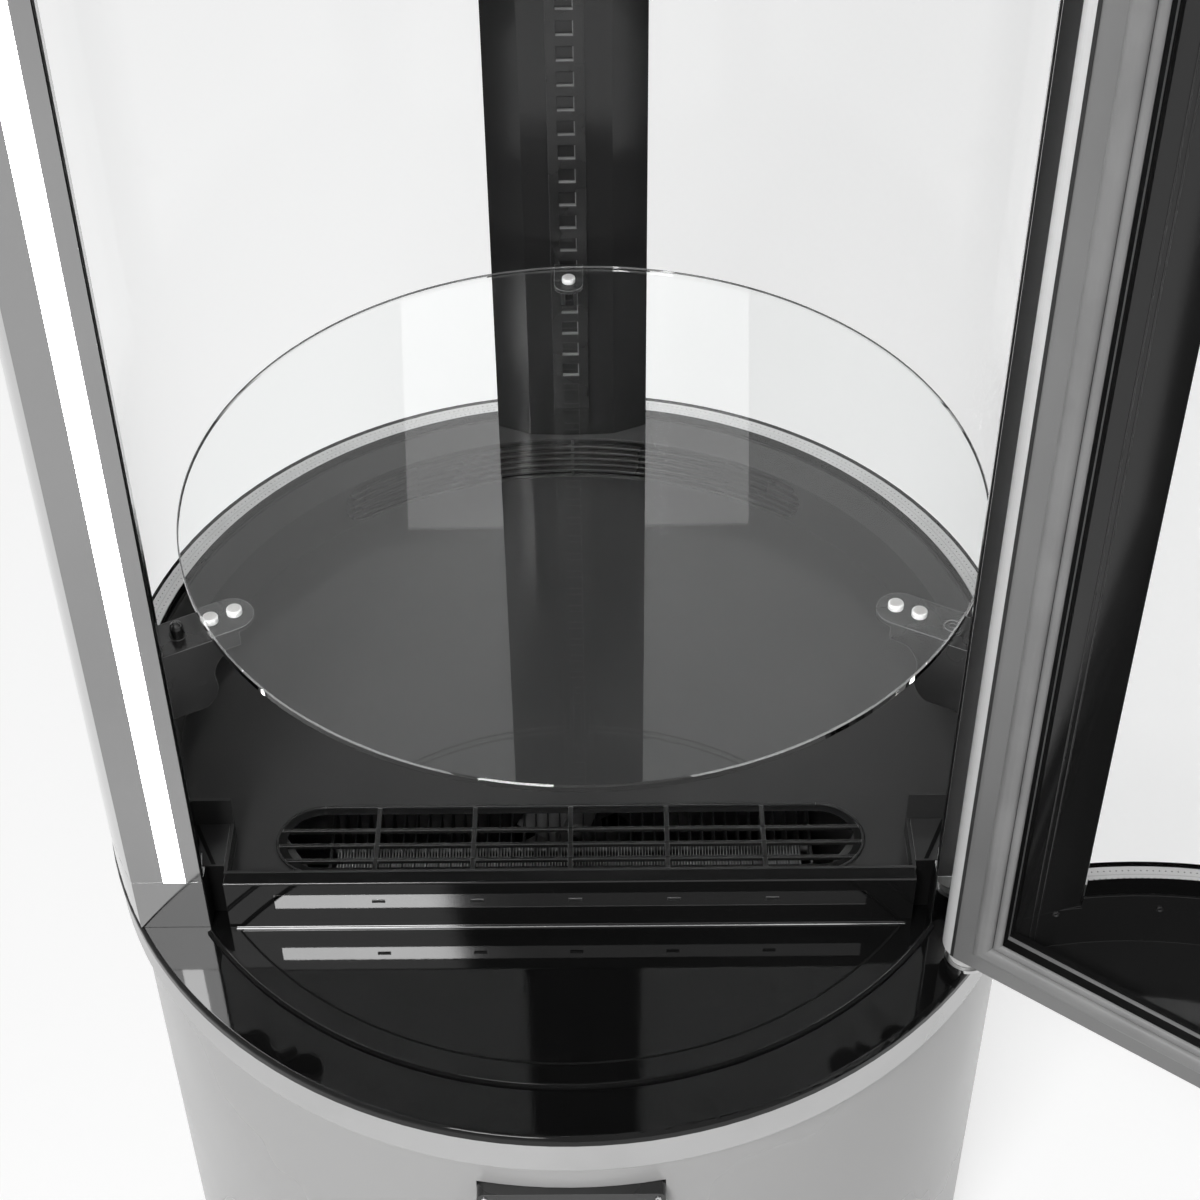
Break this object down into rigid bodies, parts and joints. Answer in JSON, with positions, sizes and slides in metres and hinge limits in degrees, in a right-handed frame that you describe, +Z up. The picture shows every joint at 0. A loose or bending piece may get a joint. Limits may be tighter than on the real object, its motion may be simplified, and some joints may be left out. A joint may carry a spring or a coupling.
{
  "type": "round refrigerated pastry display case",
  "caption": "Round refrigerated pastry display case with curved double glass, loose glass shelves, lit door posts, a swinging bow-fronted glass door and its cooling unit in the base",
  "frame": {"origin": "on the floor, under the axis of the round body", "axes": "+Z up; +Y to the back, where the slotted column stands; the door opening faces -Y; +X to the hinge side"},
  "size_m": [1.0773, 0.8805, 1.72],
  "materials": {
    "body_white": "satin",
    "trim_silver": "satin",
    "gloss_black": "gloss",
    "black_plastic": "gloss",
    "channel_black": "matte",
    "diffuser_white": "satin",
    "strip_clear": "gloss",
    "clear_glass": "polished",
    "spacer_aluminium": "satin",
    "nylon_white": "satin",
    "bright_steel": "brushed",
    "door_grey": "satin",
    "gasket_grey": "matte",
    "zinc_steel": "matte",
    "liner_grey": "matte",
    "fin_aluminium": "satin",
    "motor_black": "satin",
    "fan_grey": "matte",
    "mount_rubber": "matte",
    "copper": "satin",
    "display_dark": "gloss",
    "key_grey": "satin"
  },
  "bodies": {
    "case": {"base_drum": "body_white", "front_vent_panel": "body_white", "rear_vent_panel": "body_white", "canopy_shell": "body_white", "canopy_ceiling": "body_white", "ledge_trim": "trim_silver", "base_top": "gloss_black", "sill": "gloss_black", "corner_blocks": "gloss_black", "posts": "gloss_black", "deck_pan": "gloss_black", "rear_column": "gloss_black", "column_rail": "gloss_black", "left_brackets": "gloss_black", "right_brackets": "gloss_black", "rear_brackets": "gloss_black", "intake_grille": "black_plastic", "air_louvre": "black_plastic", "strip_clips": "black_plastic", "control_panel": "black_plastic", "lower_glass_channel": "channel_black", "upper_glass_channel": "channel_black", "mains_inlet": "channel_black", "led_strips": "diffuser_white", "canopy_lamp": "diffuser_white", "ticket_strip": "strip_clear", "side_glass_left": "clear_glass", "side_glass_right": "clear_glass", "lower_shelf": "clear_glass", "upper_shelf": "clear_glass", "glass_spacers": "spacer_aluminium", "shelf_bumpers": "nylon_white", "bracket_screws": "bright_steel", "hinge_brackets": "bright_steel", "floor_pan": "zinc_steel", "condenser_fan_shroud": "zinc_steel", "evaporator_fan_shroud": "zinc_steel", "cold_well": "liner_grey", "evaporator": "fin_aluminium", "condenser": "fin_aluminium", "compressor": "motor_black", "condenser_fan_motor": "motor_black", "evaporator_fan_motor": "motor_black", "compressor_mounts": "mount_rubber", "refrigerant_lines": "copper", "filter_drier": "copper", "control_display": "display_dark"},
    "door": {"door_frame": "door_grey", "door_shell": "gloss_black", "door_glass": "clear_glass", "door_spacer": "spacer_aluminium", "door_gasket": "gasket_grey", "door_handle": "bright_steel", "hinge_bushes": "nylon_white"},
    "condenser_fan": {"condenser_fan": "fan_grey"},
    "evaporator_fan": {"evaporator_fan": "fan_grey"},
    "condensate_tray": {"condensate_tray": "liner_grey"},
    "button_down": {"button_down": "key_grey"},
    "button_up": {"button_up": "key_grey"},
    "power_switch": {"power_switch": "key_grey"}
  },
  "joints": [
    {"name": "door_hinge", "type": "hinge", "parent": "case", "child": "door", "pos_m": [0.26854, -0.1965, 1.06], "axis": [0, 0, 1], "range_deg": [-143.4, 16.6]},
    {"name": "condenser_fan_spin", "type": "hinge", "parent": "case", "child": "condenser_fan", "pos_m": [0, -0.199, 0.158], "axis": [0, 1, 0], "continuous": true},
    {"name": "evaporator_fan_spin", "type": "hinge", "parent": "case", "child": "evaporator_fan", "pos_m": [0, -0.037, 0.47], "axis": [0, 1, 0], "continuous": true},
    {"name": "tray_slide", "type": "slide", "parent": "case", "child": "condensate_tray", "axis": [0, 1, 0], "range_m": [0, 0.16]},
    {"name": "button_down_press", "type": "slide", "parent": "case", "child": "button_down", "axis": [0, 1, 0], "range_m": [0, 0.0012], "stiffness_N_per_m": 400, "springref_m": -0.0005},
    {"name": "button_up_press", "type": "slide", "parent": "case", "child": "button_up", "axis": [0, 1, 0], "range_m": [0, 0.0012], "stiffness_N_per_m": 400, "springref_m": -0.0005},
    {"name": "power_switch_rock", "type": "hinge", "parent": "case", "child": "power_switch", "pos_m": [-0.043, -0.332, 0.426], "axis": [1, 0, 0], "range_deg": [0, 16]}
  ]
}
